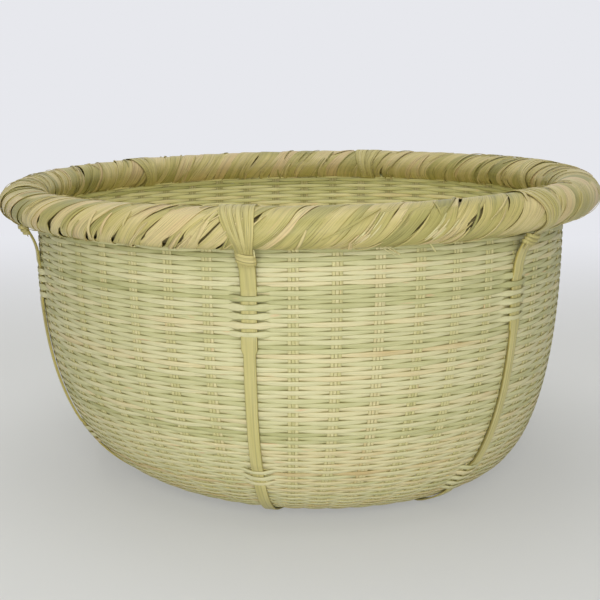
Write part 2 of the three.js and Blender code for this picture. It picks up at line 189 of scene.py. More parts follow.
def waves(count, low, high, seed):
    # A smooth random curve on a circle, from a few waves, of about unit size
    local = np.random.default_rng(seed)
    orders = local.integers(low, high, count)
    sizes = local.normal(size=count) / math.sqrt(count)
    phases = local.uniform(0, 2 * math.pi, count)
    return lambda angle: sum(a * np.sin(k * angle + p) for a, k, p in zip(sizes, orders, phases))


def between(a, b, c, d, t):
    # A Catmull-Rom curve from b to c, with a before them and d after
    return 0.5 * (2 * b + (c - a) * t + (2 * a - 5 * b + 4 * c - d) * t**2 + (3 * b - a - 3 * c + d) * t**3)


def smoothPath(keys, spacing):
    # A smooth curve through key rows (a point and anything else in its columns), evenly sampled
    keys = np.asarray(keys, float)
    ends = np.vstack([2 * keys[0] - keys[1], keys, 2 * keys[-1] - keys[-2]])
    t = np.linspace(0, 1, 12, endpoint=False)[:, None]
    rows = [between(*four, t) for four in zip(ends[:-3], ends[1:-2], ends[2:-1], ends[3:])]
    rows = np.vstack(rows + [keys[-1:]])
    length = lengthAlong(rows[:, :3])
    count = max(3, int(round(length[-1] / spacing)) + 1)
    return atLengths(rows, length, np.linspace(0, length[-1], count))


def addNode(tree, kind, settings={}, links={}):
    # One node with its settings and inputs: an input takes a value or another node's output
    node = tree.nodes.new(kind)
    for name, value in settings.items():
        setattr(node, name, value)
    for name, value in links.items():
        if isinstance(value, bpy.types.NodeSocket):
            tree.links.new(value, node.inputs[name])
        else:
            node.inputs[name].default_value = value
    return node


def splitStripTree():
    # Sweeps a flat, eased strip section along every guide line. A guide's points carry the strip's
    # outward and across directions, its half width and half thickness, its tone and its strand number.
    tree = bpy.data.node_groups.new("split strips along guides", "GeometryNodeTree")
    tree.is_modifier = True
    socket = tree.interface.new_socket
    socket("Geometry", in_out="INPUT", socket_type="NodeSocketGeometry")
    for name, kind, value in (
        ("Section Points", "NodeSocketInt", 6),
        ("Edge Roundness", "NodeSocketFloat", 0.35),
        ("Width Jitter", "NodeSocketFloat", 0.05),
        ("Jitter Length", "NodeSocketFloat", 30.0),
        ("Tone Spread", "NodeSocketFloat", 0.5),
        ("Seed", "NodeSocketInt", 3),
    ):
        item = socket(name, in_out="INPUT", socket_type=kind)
        item.default_value = value
    socket("Material", in_out="INPUT", socket_type="NodeSocketMaterial")
    socket("Geometry", in_out="OUTPUT", socket_type="NodeSocketGeometry")
    given = addNode(tree, "NodeGroupInput").outputs
    read = {}
    for kind, names in (
        ("FLOAT", ("strand", "run", "tone", "dip", "side", "out", "halfWide", "halfThick")),
        ("FLOAT_VECTOR", ("centre", "across", "outward")),
    ):
        for name in names:
            node = addNode(tree, "GeometryNodeInputNamedAttribute", {"data_type": kind}, {"Name": name})
            read[name] = node.outputs[0]

    place = addNode(tree, "GeometryNodeInputPosition").outputs[0]
    curve = addNode(tree, "GeometryNodeMeshToCurve", {}, {"Mesh": given["Geometry"]}).outputs[0]
    curve = addNode(tree, "GeometryNodeStoreNamedAttribute", {"data_type": "FLOAT_VECTOR", "domain": "POINT"},
                    {"Geometry": curve, "Name": "centre", "Value": place}).outputs[0]
    section = addNode(tree, "GeometryNodeCurvePrimitiveCircle", {"mode": "RADIUS"},
                      {"Resolution": given["Section Points"], "Radius": 1.0}).outputs[0]
    axes = addNode(tree, "ShaderNodeSeparateXYZ", {}, {"Vector": place}).outputs
    onPoints = {"data_type": "FLOAT", "domain": "POINT"}
    for name, axis in (("side", axes[0]), ("out", axes[1])):
        # the circle's coordinate, squared up towards a flat strip's section
        size = addNode(tree, "ShaderNodeMath", {"operation": "ABSOLUTE"}, {0: axis}).outputs[0]
        sign = addNode(tree, "ShaderNodeMath", {"operation": "SIGN"}, {0: axis}).outputs[0]
        clear = addNode(tree, "ShaderNodeMath", {"operation": "GREATER_THAN"}, {0: size, 1: 1e-4}).outputs[0]
        eased = size
        for operation, other in (("POWER", given["Edge Roundness"]), ("MULTIPLY", sign), ("MULTIPLY", clear)):
            eased = addNode(tree, "ShaderNodeMath", {"operation": operation}, {0: eased, 1: other}).outputs[0]
        section = addNode(tree, "GeometryNodeStoreNamedAttribute", onPoints,
                          {"Geometry": section, "Name": name, "Value": eased}).outputs[0]
    strips = addNode(tree, "GeometryNodeCurveToMesh", {},
                     {"Curve": curve, "Profile Curve": section, "Fill Caps": True}).outputs[0]

    # the width wanders along each strip, as a knife-split strip's does, and strands lie far apart in
    # the noise, so that neighbours don't wander alike
    strandsApart, wanderGain = 7.31, 4.0
    spot = addNode(tree, "ShaderNodeCombineXYZ")
    for i, operation, value, other in (
        (0, "DIVIDE", read["run"], given["Jitter Length"]), (1, "MULTIPLY", read["strand"], strandsApart),
    ):
        node = addNode(tree, "ShaderNodeMath", {"operation": operation}, {0: value, 1: other})
        tree.links.new(node.outputs[0], spot.inputs[i])
    sideways = addNode(tree, "ShaderNodeTexNoise", {"noise_dimensions": "2D"},
                       {"Vector": spot.outputs[0], "Scale": 1.0, "Detail": 1.0}).outputs[0]
    for operation, other in (
        ("SUBTRACT", 0.5), ("MULTIPLY", wanderGain), ("MULTIPLY", given["Width Jitter"]), ("ADD", 1.0),
        ("MULTIPLY", read["halfWide"]), ("MULTIPLY", read["side"]),
    ):
        sideways = addNode(tree, "ShaderNodeMath", {"operation": operation},
                           {0: sideways, 1: other}).outputs[0]
    raised, acrossMm = (
        addNode(tree, "ShaderNodeMath", {"operation": "MULTIPLY"}, {0: value, 1: other}).outputs[0]
        for value, other in ((read["halfThick"], read["out"]), (sideways, 1000.0))
    )
    position = read["centre"]
    for direction, amount in (("across", sideways), ("outward", raised)):
        scaled = addNode(tree, "ShaderNodeVectorMath", {"operation": "SCALE"},
                         {0: read[direction], "Scale": amount}).outputs[0]
        position = addNode(tree, "ShaderNodeVectorMath", {"operation": "ADD"},
                           {0: position, 1: scaled}).outputs[0]

    # painted shade: a face counts as shaded where its strip dips under the next, so that the material darkens
    # its borders there
    dipShade = read["out"]
    for other in (-1.0, read["dip"]):
        dipShade = addNode(tree, "ShaderNodeMath", {"operation": "MULTIPLY"}, {0: dipShade, 1: other}).outputs[0]
    # each strand was split from its own part of the culm, so each has its own tone
    whole = addNode(tree, "FunctionNodeFloatToInt", {}, {"Float": read["strand"]}).outputs[0]
    tone = addNode(tree, "FunctionNodeRandomValue", {"data_type": "FLOAT"},
                   {"ID": whole, "Seed": given["Seed"]}).outputs[1]
    for operation, other in (("SUBTRACT", 0.5), ("MULTIPLY", given["Tone Spread"]), ("ADD", read["tone"])):
        tone = addNode(tree, "ShaderNodeMath", {"operation": operation}, {0: tone, 1: other}).outputs[0]
    for name, value in (("acrossMm", acrossMm), ("dipShade", dipShade), ("tone", tone)):
        strips = addNode(tree, "GeometryNodeStoreNamedAttribute", onPoints,
                         {"Geometry": strips, "Name": name, "Value": value}).outputs[0]
    for kind, takes in (
        ("GeometryNodeSetPosition", {"Position": position}),
        ("GeometryNodeSetShadeSmooth", {}),
        ("GeometryNodeRealizeInstances", {}),
        ("GeometryNodeSetMaterial", {"Material": given["Material"]}),
    ):
        strips = addNode(tree, kind, {}, dict(takes, Geometry=strips)).outputs[0]
    addNode(tree, "NodeGroupOutput", {}, {"Geometry": strips})
    return tree


stripTree = splitStripTree()


def guide(points, outward, halfWide, halfThick, tone, strand, closed=False, dip=0.0, across=None):
    # One strip's middle line, in millimetres. It is settled and its directions made square to it here,
    # unless across is given, which only goes with a line that is settled already. The strand number
    # picks the strip's tone and fibres, so no two pieces share one.
    points, outward = np.asarray(points, float), np.asarray(outward, float)
    if across is None:
        outward = settleOut(points, outward)
        points = settle(points)
        ahead = np.roll(points, -1, 0) - np.roll(points, 1, 0) if closed else np.gradient(points, axis=0)
        across = unit(np.cross(outward, unit(ahead)))
        outward = np.cross(unit(ahead), across)
    made = {"points": points, "outward": outward, "across": across, "closed": closed}
    made["run"] = lengthAlong(points)
    values = {"halfWide": halfWide, "halfThick": halfThick, "tone": tone, "strand": strand, "dip": dip}
    for name, value in values.items():
        made[name] = np.broadcast_to(np.asarray(value, float), (len(points),))
    return made


def sweepStrips(name, guides, material, nodes, inputs):
    # Makes one piece from its guides with the strip tree, as a plain mesh that rides on the basket
    edges, first = [], 0
    for g in guides:
        index = np.arange(first, first + len(g["points"]))
        pairs = np.stack([index[:-1], index[1:]], -1)
        edges.append(np.vstack([pairs, [[index[-1], index[0]]]]) if g["closed"] else pairs)
        first += len(index)
    points = np.vstack([g["points"] for g in guides]) / 1000
    mesh = bpy.data.meshes.new(name + " guides")
    mesh.from_pydata(points.tolist(), np.vstack(edges).tolist(), [])
    for key in ("outward", "across"):
        layer = mesh.attributes.new(key, "FLOAT_VECTOR", "POINT")
        layer.data.foreach_set("vector", np.vstack([g[key] for g in guides]).astype(np.float32).ravel())
    # the section's lengths turn to metres, and the run stays in millimetres for the materials
    divisors = {"halfWide": 1000, "halfThick": 1000, "tone": 1, "strand": 1, "run": 1, "dip": 1}
    for key, divisor in divisors.items():
        layer = mesh.attributes.new(key, "FLOAT", "POINT")
        values = np.concatenate([g[key] for g in guides]) / divisor
        layer.data.foreach_set("value", values.astype(np.float32))
    piece = bpy.data.objects.new(name, mesh)
    bpy.context.scene.collection.objects.link(piece)
    modifier = piece.modifiers.new("strips", "NODES")
    modifier.node_group = stripTree
    given = dict(inputs, Material=material)
    for item in stripTree.interface.items_tree:
        if item.in_out == "INPUT" and item.name in given:
            modifier[item.identifier] = given[item.name]
    graph = bpy.context.evaluated_depsgraph_get()
    made = bpy.data.meshes.new_from_object(piece.evaluated_get(graph))
    piece.modifiers.clear()
    piece.data = made
    made.name = name
    for key in ("outward", "across", "centre", "halfWide", "halfThick", "dip"):
        if key in made.attributes:
            made.attributes.remove(made.attributes[key])
    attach(piece, "root")
    if nodes:
        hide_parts(*nodes)
    triangles = sum(len(p.vertices) - 2 for p in made.polygons)
    print(f"{name}: {len(guides)} strips, {triangles} triangles")


def linear(hexColour):
    channels = [int(hexColour[i:i + 2], 16) / 255 for i in (1, 3, 5)]
    return [c / 12.92 if c <= 0.04045 else ((c + 0.055) / 1.055) ** 2.4 for c in channels] + [1.0]


def grey(value):
    return [value, value, value, 1.0]


def splitBamboo(name, look):
    # Split bamboo: long straight fibres, a tone of its own for each strip, pinkish patches from the culm's
    # skin and a satin face.
    # The strips' edges, and their borders where they dip, are darkened as painted shade, and the face inside
    # the basket is made paler as painted light.
    material = bpy.data.materials.new(name)
    material.use_nodes = True
    tree = material.node_tree
    tree.nodes.clear()
    read = {}
    for key in ("tone", "run", "acrossMm", "strand", "side", "dipShade", "out"):
        node = addNode(tree, "ShaderNodeAttribute", {"attribute_type": "GEOMETRY", "attribute_name": key})
        read[key] = node.outputs["Fac"]
    here = addNode(tree, "ShaderNodeTexCoord").outputs["Object"]
    cloudSize, strandsApart = 0.045, 3.17  # metres, and shares of a feature's width
    cloud = addNode(tree, "ShaderNodeTexNoise", {},
                    {"Vector": here, "Scale": 1 / cloudSize, "Detail": 3.0}).outputs[0]

    # Noises stretched along the strip: length and width of their features in millimetres, detail, and a
    # seed. Fibres are under 0.3 mm apart, so they are drawn coarser, as wide as the look gives.
    apart = addNode(tree, "ShaderNodeMath", {"operation": "MULTIPLY"},
                    {0: read["strand"], 1: strandsApart}).outputs[0]
    noises = []
    for length, width, detail, seed in (
        (look["fibreLength"], look["fibreWidth"], 3.0, 0.0),
        (look["driftLength"], look["driftWidth"], 2.0, 4.0),
        (look["patchLength"], 3.0, 2.0, 9.0),
        (look["splitLength"], look["splitWidth"], 1.0, 14.0),
    ):
        along, over = (
            addNode(tree, "ShaderNodeMath", {"operation": "DIVIDE"}, {0: read[key], 1: size}).outputs[0]
            for key, size in (("run", length), ("acrossMm", width))
        )
        over = addNode(tree, "ShaderNodeMath", {"operation": "ADD"}, {0: over, 1: apart}).outputs[0]
        spot = addNode(tree, "ShaderNodeCombineXYZ", {}, {0: along, 1: over, 2: seed}).outputs[0]
        noises.append(addNode(tree, "ShaderNodeTexNoise", {"noise_dimensions": "3D"}, {
            "Vector": spot, "Scale": 1.0, "Detail": detail, "Roughness": 0.55,
        }).outputs[0])
    fibre, drift, patch, split = noises
    shade = read["tone"]
    for value, amount in ((drift, look["driftAmount"]), (cloud, look["cloudAmount"])):
        centred = addNode(tree, "ShaderNodeMath", {"operation": "SUBTRACT"}, {0: value, 1: 0.5}).outputs[0]
        shade = addNode(tree, "ShaderNodeMath", {"operation": "MULTIPLY_ADD"},
                        {0: centred, 1: amount, 2: shade}).outputs[0]
    fromMiddle = addNode(tree, "ShaderNodeMath", {"operation": "ABSOLUTE"}, {0: read["side"]}).outputs[0]
    borderShade = addNode(tree, "ShaderNodeMath", {"operation": "MULTIPLY"},
                     {0: read["dipShade"], 1: fromMiddle}).outputs[0]

    last, dark = len(look["tones"]) - 1, look["fibreDark"]
    ramps = []
    for value, stops in (
        (shade, [(i / last, linear(c)) for i, c in enumerate(look["tones"])]),
        (patch, [(look["patchFrom"], grey(0)), (look["patchFrom"] + 0.1, grey(look["patchAmount"]))]),
        (fibre, [(0.28, grey(1 - dark)), (0.5, grey(1)), (0.75, grey(1 + dark * 0.35))]),
        (split, [(look["splitFrom"], grey(1)), (look["splitFrom"] + 0.05, grey(1 - look["splitDark"]))]),
        # painted shade: the strips' edges are darkened, for the shade in the gaps between strips
        (fromMiddle, [(look["edgeShadeFrom"], grey(1)), (1.0, linear(look["edgeShadeTint"]))]),
        # painted shade: a strip's borders are darkened where it dips under its neighbours
        (borderShade, [(look["dipShadeFrom"], grey(1)), (0.74, linear(look["dipShadeTint"]))]),
        # painted light, with the paler inside of the culm: the face that looks into the basket is made paler
        # to brighten the basket's dim inside
        (read["out"], [(0.0, look["inwardPaintedLight"]), (0.3, grey(1))]),
    ):
        node = addNode(tree, "ShaderNodeValToRGB", {}, {"Fac": value})
        band = node.color_ramp.elements
        while len(band) < len(stops):
            band.new(0.5)
        for element, (position, tint) in zip(band, stops):
            element.position = position
            element.color = tint
        ramps.append(node.outputs[0])
    colour, pink, *factors = ramps
    colour = addNode(tree, "ShaderNodeMix", {"data_type": "RGBA"},
                     {0: pink, 6: colour, 7: linear(look["patchColour"])}).outputs[2]
    for factor in factors:
        colour = addNode(tree, "ShaderNodeMix", {"data_type": "RGBA", "blend_type": "MULTIPLY"},
                         {0: 1.0, 6: colour, 7: factor}).outputs[2]
    grain = addNode(tree, "ShaderNodeMix", {"data_type": "FLOAT"}, {0: 0.4, 2: fibre, 3: cloud}).outputs[0]
    rough = addNode(tree, "ShaderNodeMapRange", {}, {
        "Value": grain, "From Min": 0.3, "From Max": 0.7,
        "To Min": look["rough"][0], "To Max": look["rough"][1],
    }).outputs[0]
    relief = addNode(tree, "ShaderNodeMath", {"operation": "MULTIPLY_ADD"},
                     {0: drift, 1: look["ripple"], 2: fibre}).outputs[0]
    bump = addNode(tree, "ShaderNodeBump", {}, {
        "Strength": look["bumpStrength"], "Distance": look["bumpMm"] / 1000, "Height": relief,
    }).outputs[0]
    shader = addNode(tree, "ShaderNodeBsdfPrincipled", {}, {
        "Base Color": colour, "Roughness": rough, "Normal": bump, "IOR": 1.5,
        "Specular IOR Level": look["gloss"], "Coat Weight": look["coat"], "Coat Roughness": 0.35,
    })
    addNode(tree, "ShaderNodeOutputMaterial", {}, {"Surface": shader.outputs[0]})
    return material


# Tones run from green skin to the paler inside of the culm and the straw of an older one
weaverLook = {
    "tones": ["#afaf7a", "#bcbb88", "#cac898", "#d5d1a6", "#d8cda0", "#c9b482"],
    "fibreLength": 22.0, "fibreWidth": 0.42, "fibreDark": 0.16,
    "driftLength": 24.0, "driftWidth": 6.0, "driftAmount": 0.6, "cloudAmount": 0.4,
    "patchLength": 14.0, "patchFrom": 0.66, "patchAmount": 0.7, "patchColour": "#d9b88f",
    "splitLength": 30.0, "splitWidth": 0.3, "splitFrom": 0.8, "splitDark": 0.3,
    # the edge and border tints darken the strips as painted shade, and the inward tint pales the face inside
    # the basket as painted light
    "edgeShadeFrom": 0.74, "edgeShadeTint": "#c4bf9c", "dipShadeFrom": 0.3, "dipShadeTint": "#a59b70",
    "inwardPaintedLight": [1.42, 1.42, 1.38, 1.0],
    "rough": (0.42, 0.62), "gloss": 0.28, "bumpStrength": 0.5, "bumpMm": 0.12, "ripple": 0.5, "coat": 0.0,
}
stakeLook = dict(
    weaverLook,
    tones=["#b5b27a", "#c3be87", "#cec893", "#d5ce9e", "#cab887"],
    driftLength=40.0, patchFrom=0.64, edgeShadeFrom=0.86, edgeShadeTint="#bfb78c", inwardPaintedLight=grey(1.0),
)
ribLook = dict(
    weaverLook,
    tones=["#aca765", "#bbb374", "#c7be83", "#cfc28e"],
    fibreLength=40.0, fibreWidth=0.8, fibreDark=0.22, driftWidth=2.2, driftAmount=0.8,
    patchFrom=0.72, patchColour="#c9a676", splitLength=120.0, splitWidth=0.8, splitFrom=0.6, splitDark=0.28,
    edgeShadeFrom=0.9, edgeShadeTint="#d8d0a8", inwardPaintedLight=grey(1.0), rough=(0.36, 0.54), coat=0.08,
)
wrapLook = dict(
    weaverLook,
    tones=["#9d985c", "#b0a867", "#c0b475", "#cfc18b", "#ceb988"],
    fibreLength=34.0, fibreWidth=0.55, fibreDark=0.42, driftLength=40.0, driftWidth=3.2, driftAmount=0.9,
    patchLength=16.0, patchFrom=0.62, patchAmount=0.36, patchColour="#cdb285",
    splitLength=16.0, splitWidth=0.4, splitFrom=0.67, splitDark=0.66, edgeShadeFrom=0.93, edgeShadeTint="#c6bd92",
    inwardPaintedLight=grey(1.0), rough=(0.34, 0.52), bumpMm=0.3, ripple=2.2, coat=0.03,
)
lashLook = dict(
    wrapLook,
    tones=["#b0a968", "#beb475", "#c9be84", "#d0c48c"],
    fibreWidth=0.5, driftAmount=0.5, patchAmount=0.35, splitFrom=0.72, edgeShadeFrom=0.8, edgeShadeTint="#c2b98e",
)
weaverBamboo = splitBamboo("split bamboo, thin weaving strip", weaverLook)
stakeBamboo = splitBamboo("split bamboo, flat stake", stakeLook)
ribBamboo = splitBamboo("split bamboo with skin, rib", ribLook)
wrapBamboo = splitBamboo("shaved bamboo, rim winding", wrapLook)
lashBamboo = splitBamboo("shaved bamboo, fine lashing", lashLook)
print("materials made")


def coreBambooOf(look):
    # Rough split bamboo inside the rim, given a dark tone as painted shade, since it is seen only through the
    # winding's slits
    material = bpy.data.materials.new("split bamboo, rough core")
    material.use_nodes = True
    tree = material.node_tree
    shader = tree.nodes["Principled BSDF"]
    here = addNode(tree, "ShaderNodeTexCoord").outputs["Object"]
    stretched = addNode(tree, "ShaderNodeMapping", {}, {"Vector": here, "Scale": (60, 60, 700)}).outputs[0]
    grain = addNode(tree, "ShaderNodeTexNoise", {},
                    {"Vector": stretched, "Scale": 1.0, "Detail": 3.0}).outputs[0]
    tint = addNode(tree, "ShaderNodeValToRGB", {}, {"Fac": grain})
    tint.color_ramp.elements[0].color = linear(look["dark"])
    tint.color_ramp.elements[1].color = linear(look["light"])
    rough = addNode(tree, "ShaderNodeMapRange", {},
                    {"Value": grain, "To Min": 0.6, "To Max": 0.85}).outputs[0]
    bump = addNode(tree, "ShaderNodeBump", {},
                   {"Strength": 0.6, "Distance": 0.0003, "Height": grain}).outputs[0]
    for name, value in (("Base Color", tint.outputs[0]), ("Roughness", rough), ("Normal", bump)):
        tree.links.new(value, shader.inputs[name])
    return material


coreBamboo = coreBambooOf({"dark": "#6d6238", "light": "#94895a"})
for node in ("inner_rim_hoop", "outer_rim_hoop", "rim_core_bundle"):
    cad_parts[node].material_slots[0].material = coreBamboo

ribs = {
    "ends": [(0, 22), (15, 38), (30, 7)],
    # arc lengths, in pairs, between which the rows go over the rib
    "woven": {0: [(64, 75), (134, 154)], 7: [(48, 65), (132, 152)], 15: [(58, 70), (130, 146)],
              22: [(62, 73), (136, 152)], 30: [(55, 68), (131, 149)], 38: [(60, 71), (133, 150)]},
    "width": (5.1, 6.9),  # low, and above widenHeight where a second layer lies on it
    "widenHeight": (84.0, 86.5),
    "thickness": (0.7, 1.2),  # low and high, and the heights between which it changes
    "thickenHeight": (2.5, 30.0),
    "bareOff": 0.95,
    "wovenOff": 0.4,
    "leaveHeight": 110.0,
    "topHeight": 126.6,
    "topStandOff": 6.5,
    # under the base, where each rib passes beside the middle and dips under the next one
    "crossingOffset": 5.0,
    "crossingReach": 50.0,
    "crossingEase": (44.0, 54.0),
    "crossingHeight": 1.85,
    "crossingRise": 0.5,
    "crossingDip": 0.9,
    "strip": {"Section Points": 12, "Edge Roundness": 0.3, "Width Jitter": 0.03, "Jitter Length": 40.0,
              "Tone Spread": 0.1, "Seed": 2},
}
ribStakes = sorted(s for pair in ribs["ends"] for s in pair)


def ribThickness(s):
    return mix(*ribs["thickness"], smooth(lineAt("z", s), *ribs["thickenHeight"]))


def wovenShare(stake, s):
    share = np.zeros_like(np.asarray(s, float))
    for low, high in ribs["woven"][stake]:
        share = np.maximum(share, smooth(s, low - 1, low + 1.5) * (1 - smooth(s, high - 1.5, high + 1)))
    return share


rows = {
    "pitch": (1.72, 1.92),  # low on the wall and near the rim, and the heights between which it changes
    "pitchHeight": (15.0, 75.0),
    "pitchJitter": 0.07,
    "wander": 0.45,  # how far a row strays up and down on its way round
    "wanderSpread": 38.0,  # arc length over which that changes from row to row
    "wanderEnds": 14.0,  # arc length at the foot and the rim over which it dies out
    "stationsPerStake": 8,
    "thickness": 0.34,
    "swing": 0.4,  # how far a row stands off the middle surface at a stake
    "widthShare": (0.545, 0.605),  # of the pitch, half the row's width between stakes and on a stake
    "flankWider": 0.55,  # beside a rib that the rows pass over, where they part
    "overRib": 0.3,
    "overRibReach": (0.14, 0.52),  # stakes from the rib between which a row comes down again
    "toneScatter": 0.06,
    "toneDrift": 0.08,  # a slower change from row to row, by the length in the next line
    "toneDriftLength": 9.0,
    # paler lowest rows are partly painted light on the underside, and darker topmost rows are painted shade
    # under the rim
    "footPaler": 0.22,
    "footHeight": (6.0, 45.0),
    "topPaintedShade": 0.16,
    "topHeight": (119.0, 127.0),
    "perPiece": 32,
    "splices": 2,
    "strip": {"Section Points": 6, "Edge Roundness": 0.24, "Width Jitter": 0.06, "Jitter Length": 9.0,
              "Tone Spread": 0.44},
    "firstSeed": 5,
}


def weaverRows():
    # One closed ring for each row, over one stake and under the next, alternating from row to row
    local = np.random.default_rng(5)
    edges = [0.0]
    while edges[-1] < sTop:
        pitch = mix(*rows["pitch"], smooth(lineAt("z", edges[-1]), *rows["pitchHeight"]))
        edges.append(edges[-1] + pitch * (1 + rows["pitchJitter"] * local.normal()))
    level = [waves(5, 1, 7, seed) for seed in (21, 22)]
    toneWave = waves(6, 1, 6, 23)
    stakes = form["stakeCount"]
    count = stakes * rows["stationsPerStake"]
    u = np.arange(count) / rows["stationsPerStake"]
    angle = u * step
    guides = []
    for k, (low, high) in enumerate(zip(edges[:-1], edges[1:])):
        s, pitch = (low + high) / 2, high - low
        phase = s / rows["wanderSpread"]
        wander = rows["wander"] * (level[0](angle) * math.cos(phase) + level[1](angle) * math.sin(phase))
        free = smooth(s, 2, rows["wanderEnds"]) * (1 - smooth(s, sTop - rows["wanderEnds"], sTop))
        path = np.clip(s + wander * free, 0, sTop)
        swing = np.cos(np.pi * (u + k))
        off = rows["swing"] * swing
        flank = np.zeros(count)
        for stake in ribStakes:
            gap = (u - stake + stakes / 2) % stakes - stakes / 2
            bump = 1 - smooth(np.abs(gap), *rows["overRibReach"])
            woven = wovenShare(stake, path)
            lift = ribs["wovenOff"] + ribThickness(path) + rows["overRib"] - rows["swing"]
            off = off + np.where(swing > 0, lift * bump * woven, 0)
            flank = np.maximum(flank, 4 * bump * (1 - bump) * woven)
        points, outward = onWall(u, path, off)
        wide = pitch * mix(*rows["widthShare"], np.abs(swing)) * (1 + rows["flankWider"] * flank)
        strand = np.full(count, k * 4.0)
        for n in range(rows["splices"]):
            start = local.integers(0, stakes)
            start += (start + k + 1) % 2  # a splice is hidden where the row goes under a stake
            strand[u >= start] += 1
        # the lowest rows are paler, partly from paler splits and partly as painted light on the underside,
        # and the topmost are darker as painted shade under the rim
        height = float(lineAt("z", s))
        shift = rows["footPaler"] * (1 - float(smooth(height, *rows["footHeight"])))
        shift -= rows["topPaintedShade"] * float(smooth(height, *rows["topHeight"]))
        drift = rows["toneDrift"] * toneWave(s / rows["toneDriftLength"])
        tone = 0.5 + shift + drift + rows["toneScatter"] * local.normal()
        guides.append(guide(points, outward, wide, rows["thickness"] / 2, tone, strand,
                            closed=True, dip=swing))
    return guides


wallGuides = weaverRows()
for i in range(0, len(wallGuides), rows["perPiece"]):
    sweepStrips(
        f"weaver_rows_{i // rows['perPiece'] + 1}", wallGuides[i:i + rows["perPiece"]],
        weaverBamboo, ["woven_wall"], dict(rows["strip"], Seed=rows["firstSeed"] + i),
    )

plait = {
    "families": [(7, 12), (19, 11)],  # first stake and number of stakes, side to side and front to back
    "groupPitch": 5.6,
    "strandPitch": 1.47,
    "gatherRadii": (34.0, 54.0),  # between which a group's strands close up
    "pointSpacing": 0.9,
    "toneScatter": 0.1,
    "height": 3.6,
    "swing": 0.3,
    "swingGain": 1.6,
    "swingFade": 3.0,  # beyond the square
    "squareShare": 0.46,  # of the pitch, half a strand's width in the plaited square
    "halfWide": 0.74,
    "halfThick": (0.24, 0.22),
    "twill": 3,
    "fillRows": 11,
    "fillFrom": 1.0,  # beyond the square
    "fillSwing": 0.55,
    "fillHalfThick": 0.22,
    "fillToneScatter": 0.12,
    "strip": {"Section Points": 6, "Edge Roundness": 0.35, "Width Jitter": 0.02, "Jitter Length": 30.0,
              "Tone Spread": 0.5, "Seed": 31},
    "fillStrip": {"Section Points": 6, "Edge Roundness": 0.4, "Width Jitter": 0.02, "Jitter Length": 25.0,
                  "Tone Spread": 0.5, "Seed": 9},
}


def halfSide(family):
    return plait["families"][family][1] * plait["groupPitch"] / 2


def turned(flat, angle):
    # Flat points turned about the basket's middle
    x, y = flat[:, 0], flat[:, 1]
    c, s = math.cos(angle), math.sin(angle)
    return np.stack([x * c - y * s, x * s + y * c], -1)


def fanPath(place):
    # Where a group runs from the base's middle to its stake: straight, then bent towards the stake
    fan = place * step
    offset = place * plait["groupPitch"]
    bendAt = plait["groupPitch"] / step if place == 0 else offset / math.tan(fan)
    bend = np.array([bendAt, offset])
    end = form["openingRadius"] * np.array([math.cos(fan), math.sin(fan)])
    reach = np.linalg.norm(end - bend)
    t = np.linspace(0, 1, 40)[:, None]
    start = np.array([bendAt - reach, offset])
    curve = (1 - t) ** 2 * start + 2 * t * (1 - t) * bend + t * t * end
    path = np.vstack([np.linspace([0, offset], start, 30, endpoint=False), curve])
    length = lengthAlong(path)
    count = int(length[-1] / plait["pointSpacing"]) + 1
    return atLengths(path, length, np.linspace(0, length[-1], count))


def plaitGroups():
    # For each group of the base its family, and for each of its ends the stake, heading and place
    for family, (first, count) in enumerate(plait["families"]):
        middle = first + (count - 1) / 2
        heading = float(stakeAngle(middle)) - math.pi / 2
        for k in range(count):
            place = k - (count - 1) / 2
            far = middle + form["stakeCount"] / 2 - place
            yield family, (first + k, heading, place), (far, heading + math.pi, -place)


def halfStake(stake, heading, place, j, family):
    # Half of one strand, from the base's middle out and up the wall
    path = fanPath(place)
    tangent = unit(np.gradient(path, axis=0))
    normal = np.stack([-tangent[:, 1], tangent[:, 0]], -1)
    cell = plait["groupPitch"] / 3
    pitch = mix(cell, plait["strandPitch"], smooth(np.linalg.norm(path, axis=1), *plait["gatherRadii"]))
    flat = turned(path + normal * (j * pitch)[:, None], heading)
    first, count = plait["families"][0]
    axis = float(stakeAngle(first + (count - 1) / 2)) - math.pi / 2
    a, b = turned(flat, -axis).T / cell
    # over three and under three, each strand one cell on from its neighbour
    phase = a + np.round(b - 0.5) + 0.5 if family == 0 else b + np.round(a)
    swing = np.sin(2 * np.pi * (phase + 0.5) / (2 * plait["twill"])) * (1 if family == 0 else -1)
    swing = np.clip(plait["swingGain"] * swing, -1, 1)
    inside = 1 - smooth(np.maximum(np.abs(a), np.abs(b)) * cell - halfSide(0), 0, plait["swingFade"])
    base = np.column_stack([flat, plait["height"] + plait["swing"] * swing * inside])
    climb = np.concatenate([np.arange(2.5, 24, 2.5), np.arange(24, sTop - 2, 4.0), [sTop - 1]])
    wall, wallOut = onWall(stake, climb, 0.0, j * plait["strandPitch"])
    low, high = plait["halfThick"]
    thick = np.concatenate([np.full(len(base), low), mix(low, high, smooth(climb, 0, 30))])
    wide = np.concatenate([plait["squareShare"] * pitch, np.full(len(climb), plait["halfWide"])])
    return np.vstack([base, wall]), np.vstack([np.tile(down, (len(base), 1)), wallOut]), wide, thick


def stakeStrands():
    # Three strands to a group, each made of two halves that meet in the base's middle
    local = np.random.default_rng(8)
    made, strand = [[], []], 1000
    for family, near, far in plaitGroups():
        for j in (-1, 0, 1):
            halves = halfStake(*near, j, family), halfStake(*far, -j, family)
            parts = [np.concatenate([b[::-1], a[1:]]) for a, b in zip(*halves)]
            made[family].append(guide(*parts, 0.5 + plait["toneScatter"] * local.normal(), strand))
            strand += 1
    return made


strandGuides = stakeStrands()
sideNodes = [f"stake_strip_{i:02d}" for i in range(1, 13)]
frontNodes = [f"stake_strip_{i:02d}" for i in range(13, 24)] + ["base_plait_panel"]
sweepStrips("stake_strands_side_to_side", strandGuides[0], stakeBamboo, sideNodes, plait["strip"])
sweepStrips("stake_strands_front_to_back", strandGuides[1], stakeBamboo, frontNodes, plait["strip"])


